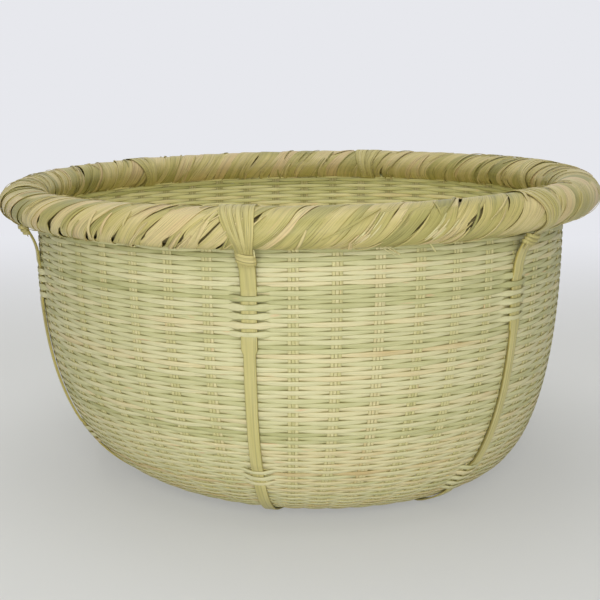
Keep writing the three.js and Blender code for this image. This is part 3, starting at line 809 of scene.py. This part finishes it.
def baseRows():
    # Rows that fill the space between the plaited square and the first round row
    fillRows, stakes, per = plait["fillRows"], form["stakeCount"], rows["stationsPerStake"]
    anchors = np.zeros((stakes, fillRows, 2))
    for family, *ends in plaitGroups():
        for stake, heading, place in ends:
            path = fanPath(place)
            outside = path[path[:, 0] > halfSide(1 - family) + plait["fillFrom"]]
            path = outside if len(outside) > 4 else path[-5:]
            length = lengthAlong(path)
            wanted = (np.arange(fillRows) + 0.5) / fillRows * length[-1]
            anchors[int(round(stake)) % stakes] = turned(atLengths(path, length, wanted), heading)
    local = np.random.default_rng(12)
    t = (np.arange(per) / per)[None, :, None, None]
    curve = between(*(np.roll(anchors, n, 0)[:, None] for n in (1, 0, -1, -2)), t).reshape(-1, fillRows, 2)
    u = np.arange(len(curve)) / per
    guides = []
    for m in range(fillRows):
        before, after = max(0, m - 1), min(fillRows - 1, m + 1)
        pitch = np.linalg.norm(curve[:, after] - curve[:, before], axis=1) / (after - before)
        swing = np.cos(np.pi * (u + m - fillRows))
        points = np.column_stack([curve[:, m], plait["height"] - plait["fillSwing"] * swing])
        tone = 0.5 + plait["fillToneScatter"] * local.normal()
        guides.append(guide(points, np.tile(down, (len(points), 1)), pitch / 2, plait["fillHalfThick"],
                            tone, 700 + 4 * m, closed=True, dip=swing))
    return guides


sweepStrips("base_fill_rows", baseRows(), weaverBamboo, [], plait["fillStrip"])


def ribEnd(stake):
    # From the base's opening up the wall, over and under the rows, and out to the rim
    s = np.concatenate([np.arange(0.0, 40, 2.0), np.arange(40, sTop - 7, 1.0)])
    s = s[lineAt("z", s) < ribs["topHeight"]]
    height = lineAt("z", s)
    thick = ribThickness(s)
    free = np.clip((height - ribs["leaveHeight"]) / (ribs["topHeight"] - ribs["leaveHeight"]), 0, 1)
    off = mix(ribs["bareOff"], ribs["wovenOff"], wovenShare(stake, s)) + thick / 2
    off = off + ribs["topStandOff"] * free**2
    wide = mix(*ribs["width"], smooth(height, *ribs["widenHeight"])) / 2
    return *onWall(stake, s, off), wide, thick / 2


def ribGuide(start, end, number):
    # Two ends and the stretch under the base that joins them, which keeps to one side of the middle
    a, b = (around(float(stakeAngle(stake)), form["openingRadius"], 0.0) for stake in (start, end))
    forward = unit(b - a)
    aside = np.array([-forward[1], forward[0], 0])
    reach = ribs["crossingReach"]
    d = np.linspace(-reach, reach, 41)
    # where it crosses the other two, it is under the one and over the other
    meeting = math.sqrt(3) * ribs["crossingOffset"]
    dip = smooth(d, 10 - reach, -meeting - 4) * (1 - smooth(d, -meeting + 3, meeting - 3))
    rise = smooth(np.abs(d), *ribs["crossingEase"])
    bend = -ribs["crossingOffset"] * (1 - smooth(np.abs(d), meeting + 4.4, ribs["crossingEase"][1]))
    under = forward * d[:, None] + aside * bend[:, None]
    under[:, 2] = ribs["crossingHeight"] + ribs["crossingRise"] * rise - ribs["crossingDip"] * dip
    half = [np.full(len(d), ribs[key][0] / 2) for key in ("width", "thickness")]
    middle = (under, np.tile(down, (len(d), 1)), *half)
    parts = [np.concatenate([x[::-1], m, y]) for x, m, y in zip(ribEnd(start), middle, ribEnd(end))]
    return guide(*parts, 0.5, 2000 + number)


for n, (start, end) in enumerate(ribs["ends"]):
    sweepStrips(f"rib_strip_{n + 1}", [ribGuide(start, end, n)], ribBamboo,
                [f"reinforcing_rib_{n + 1}"], ribs["strip"])

wrap = {
    "widthShares": [1.25, 0.45, 1.0, 0.85, 0.5],  # of five strips wound side by side
    "loops": 23,
    "stations": 32,
    "passDeg": 237.0,
    "slow": 0.12,  # advance along the rim on the side towards the weave, as a share of the advance elsewhere
    "slowFrom": (0.3, 0.46),  # shares of a turn from the outer side between which the advance slows
    "thickness": 0.36,
    "overlap": 1.14,
    "passShare": 0.9,  # width that is left where a strip goes through the weave
    "sink": 0.35,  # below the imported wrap's outer face, which the raised edges come up to
    "liftVary": 0.12,
    "tilt": 0.03,
    "widthVary": 0.09,
    "slipDeg": 0.55,
    # painted light: the winding is made paler at the back of the rim, which the lamps light less than the
    # front
    "backPaintedLight": 0.2,
    # a slit opens where a strip narrows for a stretch of its turn: the most that it narrows, and the
    # middle of the stretch, its scatter, and half its length
    "slitDepth": 0.38,
    "slitDeg": (-38.0, 44.0, 16.0),
    "slivers": 260,
    "sliverTurns": (0.12, 0.34),
    "sliverHalfWide": (0.3375, 1.08),
    "sliverHalfThick": 0.13,
    "sliverProud": (0.02, 0.32),  # at its ends and in its middle
    "sliverSlant": 0.012,
    "strip": {"Section Points": 16, "Edge Roundness": 0.22, "Width Jitter": 0.02, "Jitter Length": 14.0,
              "Tone Spread": 0.75, "Seed": 4},
    "sliverStrip": {"Section Points": 6, "Edge Roundness": 0.4, "Width Jitter": 0.05, "Jitter Length": 14.0,
                    "Tone Spread": 0.4, "Seed": 7},
}


def wrapAdvance():
    # How far a loop has advanced by each share of its turn: quickly on the sides that show
    share = np.linspace(0, 1, 361)
    speed = mix(1.0, wrap["slow"], smooth(np.abs(share - 0.5), *wrap["slowFrom"]))
    made = np.concatenate([[0], np.cumsum((speed[1:] + speed[:-1]) / 2)])
    return share, made / made[-1]


advanceTable = wrapAdvance()


def wrapLine(share, slide):
    # Angle round the rim and turn round its section, by loops wound
    turn = math.radians(wrap["passDeg"]) + share * 2 * math.pi
    loop = np.floor(share)
    advance = loop + np.interp(share - loop, *advanceTable)
    return stakeAngle(0.5) + advance * 2 * step + slide, turn


def layOnRim(angle, turn, proud, tilt):
    # Points and directions of a strip that lies on the rim with one edge raised
    points, outward = rimPoint(angle, turn, proud)
    tangent = around(angle, 0.0, 0.0, 1.0)
    across = tangent * math.cos(tilt) + outward * math.sin(tilt)
    return settle(points), outward * math.cos(tilt) - tangent * math.sin(tilt), -across


def wrapGuides():
    # Strips wound side by side, each edge lying on the next strip's
    local = np.random.default_rng(17)
    count = wrap["loops"] * wrap["stations"]
    share = np.arange(count) / wrap["stations"]
    circle = 2 * np.pi * share / wrap["loops"]
    shares = np.array(wrap["widthShares"]) / sum(wrap["widthShares"])
    gather = mix(wrap["passShare"], 1.0, smooth(np.abs((share + 0.5) % 1 - 0.5), 0.02, 0.15))
    middleDeg, scatterDeg, halfDeg = wrap["slitDeg"]
    guides = []
    for n, part in enumerate(shares):
        wide, slide, lift = (waves(9, 8, 60, 40 + 3 * n + i)(circle) for i in range(3))
        offset = (shares[:n].sum() + part / 2 - 0.5) * 2 * step
        angle, turn = wrapLine(share, offset + math.radians(wrap["slipDeg"]) * slide)
        narrow = np.zeros(count)
        for halfLoop in range(wrap["loops"] * 2):
            middle = middleDeg + scatterDeg * local.normal()
            depth = wrap["slitDepth"] * local.uniform(0, 1) ** 1.7  # a wide slit is rare
            away = np.abs((np.degrees(turn) - middle + 180) % 360 - 180) / (halfDeg * local.uniform(0.6, 1.3))
            here = (share >= halfLoop // 2) & (share < halfLoop // 2 + 1)
            narrow = np.maximum(narrow, here * depth * np.exp(-away**2))
        points, outward, across = layOnRim(angle, turn, wrap["liftVary"] * lift - wrap["sink"], wrap["tilt"])
        half = part * step * form["rimRadius"] * wrap["overlap"] * gather
        half = half * (1 + wrap["widthVary"] * wide - narrow)
        strand = 3000 + n * 200 + np.floor(share / 1.5)  # a new length of strip after every loop and a half
        tone = 0.5 + 0.2 * waves(9, 6, 40, 60 + n)(circle)
        # painted light: paler at the back of the rim, where the lamps reach less
        tone = tone + wrap["backPaintedLight"] * smooth(-np.cos(angle), 0.2, 0.9)
        guides.append(guide(points, outward, half, wrap["thickness"] / 2, tone, strand,
                            closed=True, across=across))
    return guides


def sliverGuides():
    # Fine splinters that lie along the winding, where its strips have split
    local = np.random.default_rng(29)
    points = 14
    ends = np.sin(np.linspace(0.12, math.pi - 0.12, points)) ** 0.5
    guides = []
    for n in range(wrap["slivers"]):
        length = local.uniform(*wrap["sliverTurns"])
        share = local.uniform(0, wrap["loops"]) + np.linspace(0, length, points)
        slide = local.uniform(-1, 1) * step
        slide = slide + np.linspace(-1, 1, points) * wrap["sliverSlant"] * local.normal()
        place, outward, across = layOnRim(*wrapLine(share, slide), mix(*wrap["sliverProud"], ends), 0.0)
        half = local.uniform(*wrap["sliverHalfWide"]) * ends
        guides.append(guide(place, outward, half, wrap["sliverHalfThick"], 0.5 + 0.2 * local.normal(),
                            6000 + n, across=across))
    return guides


sweepStrips("rim_winding", wrapGuides(), wrapBamboo, ["rim_wrap_strip"], wrap["strip"])
sweepStrips("rim_winding_slivers", sliverGuides(), wrapBamboo, [], wrap["sliverStrip"])

frays = {
    # places where the winding has frayed: angle round the rim, turn in degrees, spread in mm, fibres, and
    # how far their ends stand off
    "places": [(0.178, -8, 4.0, 9, 0.7), (0.385, -14, 4.5, 16, 1.0), (2.2, 30, 4.0, 6, 0.7),
               (4.0, 10, 4.0, 6, 0.7)],
    # single ends that hang below the rim: angle, and the way they point along and down, in mm
    "hanging": [(0.222, 6.4, -3.0), (0.236, 6.0, -2.8), (0.247, 4.6, -2.6), (-0.128, 0.5, -2.2),
                (0.37, 2.4, -2.6), (3.6, 4.0, -2.8)],
    "hangFromDeg": -62.0,
    "halfWide": 0.38,
    "halfThick": 0.1,
    "hangingScale": 1.2,  # of both, for the ends that hang
    "slant": 7.0,  # millimetres along the rim for one radian of turn, as the winding runs
    "strip": {"Section Points": 6, "Edge Roundness": 0.5, "Width Jitter": 0.1, "Jitter Length": 4.0,
              "Tone Spread": 0.4, "Seed": 12},
}


def frayGuides():
    # Broken fibres along the winding, and a few loose ends under the rim
    local = np.random.default_rng(51)
    guides = []
    run = np.linspace(0, 1, 10)
    ends = np.sin(np.linspace(0.2, math.pi - 0.2, 10)) ** 0.5
    for angle, turnDeg, spread, count, stand in frays["places"]:
        middle = math.radians(turnDeg)
        for n in range(count):
            turn = math.radians(turnDeg + 14 * local.normal()) + (run - 0.5) * local.uniform(0.35, 0.7)
            along = spread * local.uniform(-1, 1) + frays["slant"] * (turn - middle)
            proud = 0.25 + stand * local.uniform(0.1, 1) * run**2
            points, outward = rimPoint(angle + along / form["rimRadius"], turn, proud)
            half = frays["halfWide"] * local.uniform(0.6, 1.5) * ends
            guides.append(guide(points, outward, half, frays["halfThick"], 0.7 + 0.2 * local.normal(),
                                7000 + len(guides)))
    for angle, along, fall in frays["hanging"]:
        start, outward = rimPoint(angle, math.radians(frays["hangFromDeg"]), -0.1)
        way = around(angle, 0.0, fall, along) + 0.9 * outward
        points = start + run[:, None] * way
        wide, thick = (frays["hangingScale"] * frays[key] for key in ("halfWide", "halfThick"))
        guides.append(guide(points, np.tile(outward, (10, 1)), wide * ends, thick, 0.6, 7000 + len(guides)))
    return guides


sweepStrips("rim_loose_fibres", frayGuides(), stakeBamboo, [], frays["strip"])

lashings = {
    "ends": [0, 15, 30, 22, 38, 7],
    # sideways places of the fine strips over the rim, as shares of the lashing's half width
    "places": [-1.0, -0.82, -0.62, -0.4, -0.12, 0.16, 0.36, 0.56, 0.76, 0.96],
    "spread": 6.5,
    "neck": 2.6,
    "drift": -2.9,
    "bulge": 1.3,  # keeps the right edge upright where the rim stands furthest out
    "halfWide": 1.12,
    "thickness": 0.2,
    "proud": 0.3,
    "stagger": 0.16,  # every second strip stands this much higher
    "tailHeights": (120.5, 123.5, 126.2),
    "tailProud": 0.4,
    "tailStagger": 0.2,
    # shares of the full width in the tail, in the fan's neck, and where it passes through the weave
    "tailShare": 0.72,
    "neckShare": 0.8,
    "passShare": 0.7,
    "turnsDeg": (-38, -15, 10, 35, 60, 85, 110, 135, 160, 185, 205),
    "fanFrom": 0.77,  # how far below the rim's widest place the fan starts, as a share of its half height
    "gatherDeg": (120.0, 215.0),
    "backDeg": (105.0, 220.0),
    "passHalfWide": 3.4,  # the fan's half width where it goes back in beside the weave
    "passPoints": ((-3.0, 129.2), (-1.0, 129.0)),  # from the wall's radius, and height
    "strip": {"Section Points": 8, "Edge Roundness": 0.25, "Width Jitter": 0.05, "Jitter Length": 12.0,
              "Tone Spread": 0.5, "Seed": 6},
}


def neckRadius(height):
    # Radius of the rib's inner face where it leans out to the rim
    share = np.clip((height - ribs["leaveHeight"]) / (ribs["topHeight"] - ribs["leaveHeight"]), 0, 1.2)
    return float(form["wallRadius"] + 0.3 + ribs["topStandOff"] * share**2)


def lashingGuides(stake, number):
    # Fine strips from the rib's neck, fanned out over the rim, and back through the weave beside the rib
    local = np.random.default_rng(80 + number)
    angle = float(stakeAngle(stake))
    radius = form["rimRadius"]
    guides = []
    for n, place in enumerate(lashings["places"]):
        place = place + 0.04 * local.normal()
        neck = (n / (len(lashings["places"]) - 1) * 2 - 1) * lashings["neck"]
        proud = lashings["proud"] + lashings["stagger"] * (n % 2)
        # each key is a point, the outward direction there, and a share of the full width
        keys = []
        for height in lashings["tailHeights"]:
            tail = neckRadius(height) + ribs["thickness"][1]
            tail += lashings["tailProud"] + lashings["tailStagger"] * (n % 2)
            out = around(angle, 1.0, -0.3)
            keys.append([*around(angle, tail, height, neck), *out, lashings["tailShare"]])
        for turnDeg in lashings["turnsDeg"]:
            turn = math.radians(turnDeg)
            # straight as seen from the front, then gathered again towards the weave
            spread = (math.sin(min(turn, math.pi / 2)) + lashings["fanFrom"]) / (1 + lashings["fanFrom"])
            spread = spread * (1 - float(smooth(turnDeg, *lashings["gatherDeg"])))
            back = float(smooth(turnDeg, *lashings["backDeg"]))
            side = mix(neck, place * lashings["spread"], spread)
            side = mix(side, place * lashings["passHalfWide"], back)
            lean = lashings["drift"] * spread + lashings["bulge"] * max(0.0, math.cos(turn)) ** 2
            drift = mix(lean, -step / 4 * radius, back)
            point, out = rimPoint(angle + (side + drift) / radius, turn, proud)
            keys.append([*point, *out, mix(lashings["neckShare"], 1.0, spread)])
        sideways = place * lashings["passHalfWide"]
        for depth, height in lashings["passPoints"]:
            point = around(angle - step / 4, form["wallRadius"] + depth, height, sideways)
            keys.append([*point, *down, lashings["passShare"]])
        path = smoothPath(keys, 1.6)
        guides.append(guide(path[:, :3], unit(path[:, 3:6]), lashings["halfWide"] * path[:, 6],
                            lashings["thickness"] / 2, 0.5 + 0.12 * local.normal(), 4000 + 40 * number + n))
    return guides


collars = {
    "height": 124.4,
    "turns": 3,
    "turnPitch": 1.35,
    "halfWide": 0.9,
    "thickness": 0.16,
    "side": 3.75,
    "slope": 0.18,  # lower on the right than on the left
    "sag": 0.5,
}


def collarGuides(stake, number):
    # A fine strip taken round the rib's neck, as turns that lie close together
    angle = float(stakeAngle(stake))
    guides = []
    for n in range(collars["turns"]):
        level = collars["height"] + (n - (collars["turns"] - 1) / 2) * collars["turnPitch"]
        base = neckRadius(level)
        front = ribs["thickness"][1] + 1.0 + 0.08 * n
        shoulder = front * 0.55
        corners = [(-0.25, -1.0), (shoulder, -1.08), (front, -0.78), (front + 0.25, 0), (front, 0.78),
                   (shoulder, 1.08), (-0.25, 1.0), (-0.35, 0)]
        # each key is a point, and the outward direction there as shares out from the wall and sideways
        keys = []
        for out, side in corners + corners[:1]:
            sideways = side * collars["side"]
            drop = collars["sag"] * (1 - side * side) * (out > 0) + collars["slope"] * sideways
            point = around(angle, base + out, level - drop, sideways)
            keys.append([*point, out - front / 2, side * 2.0])
        path = smoothPath(keys, 0.9)[:-1]
        outward = around(angle, path[:, 3], 0.0, path[:, 4])
        guides.append(guide(path[:, :3], unit(outward), collars["halfWide"], collars["thickness"] / 2,
                            0.4, 4500 + 10 * number + n, closed=True))
    return guides


for n, stake in enumerate(lashings["ends"]):
    sweepStrips(f"lashing_strands_{n + 1}", lashingGuides(stake, n), lashBamboo,
                [f"rim_lashing_{n + 1}"], lashings["strip"])
    sweepStrips(f"neck_binding_{n + 1}", collarGuides(stake, n), lashBamboo,
                [f"rib_collar_{n + 1}"], lashings["strip"])
print("basket built")

studio = {
    "floor": "#d9dad9",
    "wall": "#e7e8ed",
    "air": "#f3eee0",
    "airStrength": 0.3,
    "paleFrom": 0.13,  # metres behind the basket's middle where the floor starts to turn paler
    "paleTo": 0.74,
    "nearGlow": 0.45,  # share of its own colour that the paper shows near the basket's shadow
    # power, size, place and the point that the lamp faces, in metres
    "lamps": {
        "key softbox": (7.6, (0.7, 0.55), (0.05, -1.6, 0.88), (0, 0, 0.06)),
        "low front card": (2.35, (0.6, 0.14), (-0.02, -0.85, 0.08), (0, 0, 0.02)),
        "left fill": (0.35, (0.8, 0.8), (-1.0, -0.5, 0.6), (0, 0, 0.08)),
        "overhead panel": (7.4, (1.1, 0.9), (-0.1, 0.0, 1.2), (0, 0.02, 0.1)),
    },
    "lens": 67.46,
    "cameraPlace": (0.0, -0.5592, 0.1981),
    "cameraDownDeg": 11.977,
}


def backdrop():
    # A plain pale sweep: floor, a wide curve and a wall, evenly pale to the camera
    radius, behind = 0.5, 0.9
    profile = [(-1.6, 0.0), (behind, 0.0)]
    for angle in np.linspace(0.1, math.pi / 2, 14):
        profile.append((behind + radius * math.sin(angle), radius - radius * math.cos(angle)))
    profile.append((behind + radius, 2.4))
    points = [(x, y, z) for y, z in profile for x in (-3.0, 3.0)]
    faces = [(2 * i, 2 * i + 1, 2 * i + 3, 2 * i + 2) for i in range(len(profile) - 1)]
    mesh = bpy.data.meshes.new("studio_sweep")
    mesh.from_pydata(points, [], faces)
    mesh.polygons.foreach_set("use_smooth", [True] * len(faces))
    sweep = bpy.data.objects.new("studio_sweep", mesh)
    bpy.context.scene.collection.objects.link(sweep)
    material = bpy.data.materials.new("matt paper sweep")
    material.use_nodes = True
    tree = material.node_tree
    shader = tree.nodes["Principled BSDF"]
    place = addNode(tree, "ShaderNodeTexCoord").outputs["Object"]
    depth = addNode(tree, "ShaderNodeSeparateXYZ", {}, {"Vector": place}).outputs[1]
    share = addNode(tree, "ShaderNodeMapRange", {"interpolation_type": "SMOOTHSTEP"}, {
        "Value": depth, "From Min": studio["paleFrom"], "From Max": studio["paleTo"],
    }).outputs[0]
    paper = addNode(tree, "ShaderNodeMix", {"data_type": "RGBA"},
                    {0: share, 6: linear(studio["floor"]), 7: linear(studio["wall"])}).outputs[2]
    tree.links.new(paper, shader.inputs["Base Color"])
    shader.inputs["Roughness"].default_value = 0.9
    shader.inputs["Specular IOR Level"].default_value = 0.1
    # seen directly or in a gloss, the paper shows its own colour, and a part of it near the basket's shadow
    ray = addNode(tree, "ShaderNodeLightPath").outputs
    even = addNode(tree, "ShaderNodeMapRange", {},
                   {"Value": share, "To Min": studio["nearGlow"], "To Max": 1.0}).outputs[0]
    seen = ray["Is Camera Ray"]
    for operation, other in (
        ("MAXIMUM", ray["Is Glossy Ray"]), ("MAXIMUM", ray["Is Transmission Ray"]), ("MULTIPLY", even),
    ):
        seen = addNode(tree, "ShaderNodeMath", {"operation": operation}, {0: seen, 1: other}).outputs[0]
    glow = addNode(tree, "ShaderNodeEmission", {}, {"Color": paper, "Strength": 1.0}).outputs[0]
    mixed = addNode(tree, "ShaderNodeMixShader", {}, {0: seen, 1: shader.outputs[0], 2: glow}).outputs[0]
    tree.links.new(mixed, tree.nodes["Material Output"].inputs["Surface"])
    mesh.materials.append(material)


def areaLamp(name, power, size, place, target):
    lamp = bpy.data.lights.new(name, "AREA")
    lamp.energy = power
    lamp.shape = "RECTANGLE"
    lamp.size, lamp.size_y = size
    holder = bpy.data.objects.new(name, lamp)
    bpy.context.scene.collection.objects.link(holder)
    holder.location = place
    x, y, z = np.array(place) - np.array(target)
    holder.rotation_euler = (math.atan2(math.hypot(x, y), z), 0, math.atan2(x, -y))


backdrop()
for name, settings in studio["lamps"].items():
    areaLamp(name, *settings)
world = bpy.data.worlds.new("studio air")
world.use_nodes = True
world.node_tree.nodes["Background"].inputs["Color"].default_value = linear(studio["air"])
world.node_tree.nodes["Background"].inputs["Strength"].default_value = studio["airStrength"]
bpy.context.scene.world = world

cameraData = bpy.data.cameras.new("camera")
cameraData.lens = studio["lens"]
cameraData.sensor_width = 36.0
camera = bpy.data.objects.new("camera", cameraData)
bpy.context.scene.collection.objects.link(camera)
camera.location = studio["cameraPlace"]
camera.rotation_euler = (math.radians(90 - studio["cameraDownDeg"]), 0.0, 0.0)
bpy.context.scene.camera = camera
bpy.context.scene.view_settings.view_transform = "Standard"
print("studio made")
